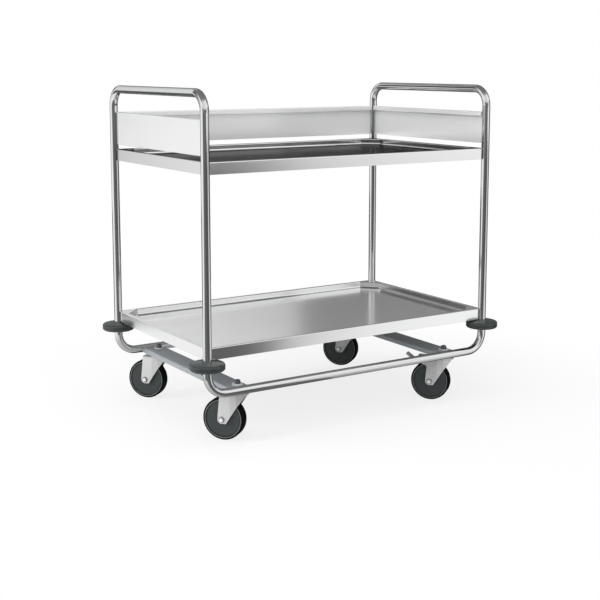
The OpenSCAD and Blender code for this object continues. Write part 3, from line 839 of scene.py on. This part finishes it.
class Bench:
    """Shapes pieces by hand with Blender's own tools."""

    # Points closer than this are one point
    SAME_POINT = 0.000002

    def __init__(self, wardrobe: Wardrobe) -> None:
        """Keeps the finishes at hand."""
        self.wardrobe = wardrobe

    @staticmethod
    def take(piece: Piece) -> None:
        """Selects one piece alone.

        Args:
            piece: the piece.
        """
        bpy.ops.object.select_all(action="DESELECT")
        piece.select_set(True)
        bpy.context.view_layer.objects.active = piece

    @staticmethod
    def started(name: str) -> Piece:
        """Names the primitive that was just added and puts its turn into its mesh.

        Args:
            name: the piece's name.

        Returns:
            The piece.
        """
        piece = bpy.context.view_layer.objects.active
        piece.name = name
        Bench.take(piece)
        bpy.ops.object.transform_apply(location=True, rotation=True, scale=True)
        return piece

    @staticmethod
    @contextmanager
    def editing(piece: Piece, kind: Element, test: Callable[[object], bool]) -> Iterator[None]:
        """Keeps a piece in edit mode, with those of its elements selected that pass a test.

        Args:
            piece: the piece.
            kind: the kind of element.
            test: takes an element of the piece's mesh.

        Yields:
            Nothing, once the elements are selected.
        """
        Bench.take(piece)
        bpy.ops.object.mode_set(mode="EDIT")
        bpy.ops.mesh.select_mode(type=kind.name)
        bpy.ops.mesh.select_all(action="DESELECT")
        bpy.ops.object.mode_set(mode="OBJECT")
        for element in getattr(piece.data, kind.value):
            element.select = test(element)
        bpy.ops.object.mode_set(mode="EDIT")
        yield
        bpy.ops.object.mode_set(mode="OBJECT")

    @staticmethod
    def smooth(piece: Piece, degrees: float) -> None:
        """Closes a shape, points its faces outwards and smooths it up to an angle.

        Args:
            piece: the piece.
            degrees: edges sharper than this stay sharp.
        """
        Bench.take(piece)
        bpy.ops.object.mode_set(mode="EDIT")
        bpy.ops.mesh.select_all(action="SELECT")
        bpy.ops.mesh.remove_doubles(threshold=Bench.SAME_POINT)
        bpy.ops.mesh.normals_make_consistent(inside=False)
        bpy.ops.object.mode_set(mode="OBJECT")
        bpy.ops.object.shade_smooth_by_angle(angle=math.radians(degrees))

    def fit(self, pattern: Piece, name: str, places: Sequence[Matrix], finish: Finish, slot: str,
            body: str) -> Piece:
        """Copies a shape to each of some places and joins the copies to one finished piece.

        Args:
            pattern: the shape, modelled at the origin.
            name: the new piece's name.
            places: where each copy goes.
            finish: the piece's finish.
            slot: the record's slot that it belongs to; not used.
            body: the body that it moves with.

        Returns:
            The piece, with its place in its mesh.
        """
        copies = []
        for place in places:
            copied = pattern.copy()
            copied.data = pattern.data.copy()
            bpy.context.scene.collection.objects.link(copied)
            copied.matrix_world = place
            copies.append(copied)
        bpy.ops.object.select_all(action="DESELECT")
        for copied in copies:
            copied.select_set(True)
        piece = copies[0]
        bpy.context.view_layer.objects.active = piece
        bpy.ops.object.transform_apply(location=True, rotation=True, scale=True)
        if len(copies) > 1:
            bpy.ops.object.join()
        piece.name = name
        piece.data.materials.clear()
        piece.data.materials.append(self.wardrobe.material(finish))
        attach(piece, body)
        LOG.info("%s rides on %s", name, body)
        return piece

    @staticmethod
    def put_away(pattern: Piece) -> None:
        """Deletes a shape that was only there to be copied."""
        Bench.take(pattern)
        bpy.ops.object.delete()


@dataclass
class TubeFrame:
    """The bows, the base rails and their joints."""

    wardrobe: Wardrobe

    def build(self) -> None:
        """Dresses the tubes and the bumpers."""
        self.wardrobe.dress(TUBE, "left_push_bow", "right_push_bow", "front_base_rail", "back_base_rail")
        self.wardrobe.dress(BRIGHT, "joint_spigots")
        for side in ("front_left", "back_left", "front_right", "back_right"):
            self.wardrobe.dress(BUMPER, f"bumper_{side}")


@dataclass
class Sheets:
    """The shelves and the galleries.

    Attributes:
        half_length: half of the frame's length.
        half_depth: half of its depth.
        roll: the radius of the rolled edge under a gallery's lip.
        roll_blunt: how far its ends are rounded off.
        roll_height: its height.
        roll_inside: how far it lies inside the uprights' middles.
        roll_short: how far it ends before them.
    """

    wardrobe: Wardrobe
    bench: Bench
    half_length: float = 0.5
    half_depth: float = 0.3
    roll: float = 0.0015
    roll_blunt: float = 0.0008
    roll_height: float = 0.910
    roll_inside: float = 0.0084
    roll_short: float = 0.0135

    def build(self) -> None:
        """Dresses the sheets and rolls the galleries' lower lips."""
        self.wardrobe.dress(UPPER_SHEET, "upper_shelf", "upper_shelf_rails")
        self.wardrobe.dress(SHEET, "lower_shelf", "lower_shelf_rails", "left_gallery")
        self.wardrobe.dress(GALLERY, "right_gallery", "back_gallery")
        side, back = self.half_length - self.roll_inside, self.half_depth - self.roll_inside
        quarter = Matrix.Rotation(math.pi / 2, 4, "Z")
        self._rolled(self.half_length, {"back": Matrix.Translation((0.0, back, self.roll_height))})
        self._rolled(self.half_depth, {
            "left": Matrix.Translation((-side, 0.0, self.roll_height)) @ quarter,
            "right": Matrix.Translation((side, 0.0, self.roll_height)) @ quarter})

    def _rolled(self, half: float, places: dict[str, Matrix]) -> None:
        """A rolled edge of one length for each of some galleries.

        Args:
            half: half of the distance between the uprights.
            places: each gallery's side and the place of its edge.
        """
        length = 2.0 * (half - self.roll_short)
        bpy.ops.mesh.primitive_cylinder_add(vertices=14, radius=self.roll, depth=length,
                                            rotation=(0.0, math.pi / 2, 0.0))
        roll = self.bench.started("roll")
        with self.bench.editing(roll, Element.FACE, lambda face: abs(face.normal.x) > FACING):
            bpy.ops.mesh.bevel(offset=self.roll_blunt, segments=2, affect="EDGES")
        self.bench.smooth(roll, degrees=40.0)
        for side, place in places.items():
            self.bench.fit(roll, f"{side}_rolled_edge", [place], SHEET, "sheet_steel", "frame")
        self.bench.put_away(roll)


@dataclass
class CrossMembers:
    """The channels over the casters and the bolts through them.

    Attributes:
        nut_across: the nuts' size across their flats.
        nut_height: their height.
        nut_foot: the height of their lower face.
        nut_chamfer: how much is taken off their corners.
        nut_blunt: how far their edges are rounded off.
        bore: the radius of their hole.
        bead: the radius of the welds at the channels' ends.
        bead_length: their length.
        bead_side: how far from the middle they lie.
        bead_height: their height above the floor.
        ripples: how many times they are cut across.
        waist: the share of the radius that is left between two ripples.
        tip: the share of it that is left at their ends.
        middles: the channels' middles.
    """

    wardrobe: Wardrobe
    bench: Bench
    nut_across: float = 0.017
    nut_height: float = 0.0095
    nut_foot: float = 0.1675
    nut_chamfer: float = 0.0016
    nut_blunt: float = 0.0003
    bore: float = 0.00605
    bead: float = 0.0021
    bead_length: float = 0.056
    bead_side: float = 0.2878
    bead_height: float = 0.1652
    ripples: int = 44
    waist: float = 0.86
    tip: float = 0.5
    middles: Span = (-0.3885, 0.3715)

    def build(self) -> None:
        """Dresses the channels and washers, and models the nuts and welds."""
        self.wardrobe.dress(CHANNEL, "left_cross_member", "right_cross_member")
        self.wardrobe.dress(WASHER, "king_bolt_washers")
        self._nuts()
        self._welds()

    def _nuts(self) -> None:
        """Six-sided nuts with their corners taken off, in place of the plain ones."""
        bpy.ops.mesh.primitive_cylinder_add(
            vertices=6, radius=self.nut_across / 2 / math.cos(math.pi / 6), depth=self.nut_height,
            location=(0.0, 0.0, self.nut_height / 2), rotation=(0.0, 0.0, math.pi / 6))
        nut = self.bench.started("nut")
        with self.bench.editing(nut, Element.VERT, lambda point: True):
            bpy.ops.mesh.bevel(offset=self.nut_chamfer, affect="VERTICES", segments=1)
        bpy.ops.mesh.primitive_cylinder_add(vertices=32, radius=self.bore, depth=4 * self.nut_height)
        drill = self.bench.started("drill")
        self.bench.take(nut)
        cut = nut.modifiers.new("bore", "BOOLEAN")
        cut.object = drill
        bpy.ops.object.modifier_apply(modifier=cut.name)
        soft = nut.modifiers.new("edges", "BEVEL")
        soft.width = self.nut_blunt
        soft.segments = 2
        soft.limit_method = "ANGLE"
        bpy.ops.object.modifier_apply(modifier=soft.name)
        self.bench.smooth(nut, degrees=25.0)
        places = [Matrix.Translation((*corner.value, self.nut_foot)) for corner in Corner]
        nuts = self.bench.fit(nut, "chamfered_nuts", places, BOLT, "bolt_steel", "frame")
        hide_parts("king_bolt_nuts")
        self.bench.put_away(nut)
        self.bench.put_away(drill)

    def _welds(self) -> None:
        """Rippled weld beads where the channels meet the base rails."""
        bpy.ops.mesh.primitive_cylinder_add(vertices=12, radius=self.bead, depth=self.bead_length,
                                            rotation=(0.0, math.pi / 2, 0.0))
        weld = self.bench.started("weld")
        half, step = self.bead_length / 2, self.bead_length / (self.ripples + 1)
        right = {point.index for point in weld.data.vertices if point.co.x > 0.0}
        with self.bench.editing(weld, Element.EDGE, lambda edge: len(right.intersection(edge.vertices)) == 1):
            bpy.ops.mesh.subdivide(number_cuts=self.ripples)
        with self.bench.editing(weld, Element.VERT, lambda point: round((point.co.x + half) / step) % 2 == 1):
            bpy.ops.transform.resize(value=(1.0, self.waist, self.waist))
        with self.bench.editing(weld, Element.VERT, lambda point: abs(point.co.x) > half - step / 2):
            bpy.ops.transform.resize(value=(1.0, self.tip, self.tip))
        self.bench.smooth(weld, degrees=60.0)
        for side, middle in zip(("left", "right"), self.middles):
            places = [Matrix.Translation((middle, way * self.bead_side, self.bead_height)) for way in (-1, 1)]
            self.bench.fit(weld, f"{side}_weld_beads", places, ZINC, "channel_steel", "frame")
        self.bench.put_away(weld)


@dataclass
class CasterDetail:
    """The shapes that the casters get copies of, each modelled once.

    Attributes:
        yaw: how far the casters are turned, in degrees.
        trail: how far the axle trails behind the swivel.
        axle_height: the axle's height.
        ring_radius: the radius of the ring on the wheel's rim.
        ring_out: how far the ring's middle lies from the wheel's.
        ring_round: the radius of the ring's section.
        cap_radius: the radius of the cap on the axle's head.
        cap_height: the height of its straight foot.
        cap_out: how far that foot lies from the wheel's middle.
        cap_steps: how far each step of its dome goes in and up.
        pivot: the pedal's pivot, behind the swivel and above the floor.
        tread_foot: where the tread starts, from the pivot.
        tread_slope: the tread's slope in degrees.
        tread_thick: the tread's thickness.
        tread_wide: the tread's width.
        rib_wide: the width of a rib on the tread.
        rib_high: its height.
        rib_short: how much shorter it is than the tread is wide.
        rib_blunt: how far its upper edges are rounded off.
        rib_first: how far the first rib lies up the tread.
        rib_step: the distance between the ribs.
        ribs: how many ribs there are.
    """

    bench: Bench
    yaw: float = 128.6
    trail: float = 0.040
    axle_height: float = 0.0625
    ring_radius: float = 0.0557
    ring_out: float = 0.0156
    ring_round: float = 0.0008
    cap_radius: float = 0.0060
    cap_height: float = 0.0012
    cap_out: float = 0.0290
    cap_steps: tuple[Span, ...] = ((0.0009, 0.0007), (0.0016, 0.0004), (0.0016, 0.0001))
    pivot: Span = (0.080, 0.132)
    tread_foot: Span = (0.015, -0.007)
    tread_slope: float = 37.0
    tread_thick: float = 0.003
    tread_wide: float = 0.030
    rib_wide: float = 0.0022
    rib_high: float = 0.001
    rib_short: float = 0.005
    rib_blunt: float = 0.0006
    rib_first: float = 0.0065
    rib_step: float = 0.006
    ribs: int = 4

    def turned(self, corner: Corner) -> Matrix:
        """The place of the own frame of the caster at a corner."""
        return Matrix.Translation((*corner.value, 0.0)) @ Matrix.Rotation(math.radians(self.yaw), 4, "Z")

    def on_axle(self, corner: Corner, side: int) -> Matrix:
        """The place of a shape turned about a caster's axle: side is 1 at the bolt's head, -1 opposite."""
        axle = Matrix.Translation((self.trail, 0.0, self.axle_height))
        return self.turned(corner) @ axle @ Matrix.Rotation(math.radians(-90.0 * side), 4, "X")

    def on_tread(self, corner: Corner) -> Matrix:
        """The place of a shape that lies on a pedal's tread.

        Args:
            corner: the caster's corner.

        Returns:
            The matrix from the shape's frame to the trolley's.
        """
        back, up = (pivot + foot for pivot, foot in zip(self.pivot, self.tread_foot))
        slope = Matrix.Rotation(math.radians(-self.tread_slope), 4, "Y")
        return self.turned(corner) @ Matrix.Translation((back, 0.0, up)) @ slope

    def put_away(self) -> None:
        """Deletes the shapes once every caster has its copies."""
        for shape in (self.ring, self.cap, self.rib):
            self.bench.put_away(shape)

    @cached_property
    def ring(self) -> Piece:
        """A slim round ring, spun about the axle.

        Returns:
            The ring.
        """
        place = (self.ring_radius, 0.0, self.ring_out)
        bpy.ops.mesh.primitive_circle_add(vertices=10, radius=self.ring_round, location=place,
                                          rotation=(math.pi / 2, 0.0, 0.0))
        ring = self.bench.started("ring")
        with self.bench.editing(ring, Element.VERT, lambda point: True):
            bpy.ops.mesh.spin(steps=96, angle=math.tau, center=(0.0, 0.0, 0.0), axis=(0.0, 0.0, 1.0))
        self.bench.smooth(ring, degrees=80.0)
        return ring

    @cached_property
    def cap(self) -> Piece:
        """A low dome on the head of the axle's bolt.

        Returns:
            The cap.
        """
        bpy.ops.mesh.primitive_cylinder_add(vertices=36, radius=self.cap_radius, depth=self.cap_height,
                                            location=(0.0, 0.0, self.cap_out + self.cap_height / 2))
        cap = self.bench.started("cap")
        with self.bench.editing(cap, Element.FACE, lambda face: face.normal.z > FACING):
            for inset, lift in self.cap_steps:
                bpy.ops.mesh.inset(thickness=inset)
                bpy.ops.transform.translate(value=(0.0, 0.0, lift))
        self.bench.smooth(cap, degrees=50.0)
        return cap

    @cached_property
    def rib(self) -> Piece:
        """Rounded ribs across a pedal's tread.

        Returns:
            The row of ribs, lying flat.
        """
        size = (self.rib_wide, self.tread_wide - self.rib_short, self.rib_high)
        bpy.ops.mesh.primitive_cube_add(size=1.0, scale=size,
                                        location=(self.rib_first, 0.0, self.tread_thick))
        rib = self.bench.started("rib")
        with self.bench.editing(rib, Element.FACE, lambda face: face.normal.z > FACING):
            bpy.ops.mesh.bevel(offset=self.rib_blunt, segments=3, affect="EDGES")
        row = rib.modifiers.new("row", "ARRAY")
        row.count = self.ribs
        row.use_relative_offset = False
        row.use_constant_offset = True
        row.constant_offset_displace = (self.rib_step, 0.0, 0.0)
        bpy.ops.object.modifier_apply(modifier=row.name)
        self.bench.smooth(rib, degrees=40.0)
        return rib


@dataclass
class Caster:
    """One swivel caster."""

    wardrobe: Wardrobe
    bench: Bench
    detail: CasterDetail
    corner: Corner

    def build(self) -> None:
        """Dresses the caster's nodes and adds its detail."""
        tag = self.corner.tag
        looks = {"swivel_head": ZINC, "fork": ZINC, "king_bolt": BOLT, "swivel_balls": BRIGHT, "axle": AXLE,
                 "wheel": WHEEL, "tyre": TYRE, "wheel_bush": BUSH}
        for node, finish in looks.items():
            self.wardrobe.dress(finish, f"{node}_{tag}")
        sides = [self.detail.on_axle(self.corner, side) for side in (1, -1)]
        self.bench.fit(self.detail.ring, f"rim_rings_{tag}", sides, RIM_RING, "wheel_plastic",
                       f"rolling_wheel_{tag}")
        self.bench.fit(self.detail.cap, f"axle_cap_{tag}", sides[:1], BRIGHT, "bright_steel", f"caster_{tag}")
        if self.corner.braked:
            self._brake()

    def _brake(self) -> None:
        """Dresses the brake and ribs its tread."""
        tag = self.corner.tag
        self.wardrobe.dress(ZINC, f"brake_pedal_{tag}")
        self.wardrobe.dress(BRIGHT, f"brake_pin_{tag}")
        places = [self.detail.on_tread(self.corner)]
        self.bench.fit(self.detail.rib, f"pedal_ribs_{tag}", places, ZINC, "zinc_steel", f"pedal_{tag}")


def main() -> None:
    """Builds the studio and the trolley's looks."""
    logging.basicConfig(level=logging.INFO, format="%(name)s: %(message)s")
    bpy.ops.object.select_all(action="DESELECT")
    Studio().build()
    wardrobe = Wardrobe()
    bench = Bench(wardrobe)
    TubeFrame(wardrobe).build()
    Sheets(wardrobe, bench).build()
    CrossMembers(wardrobe, bench).build()
    detail = CasterDetail(bench)
    for corner in Corner:
        Caster(wardrobe, bench, detail, corner).build()
    detail.put_away()


if __name__ == "__main__":
    main()
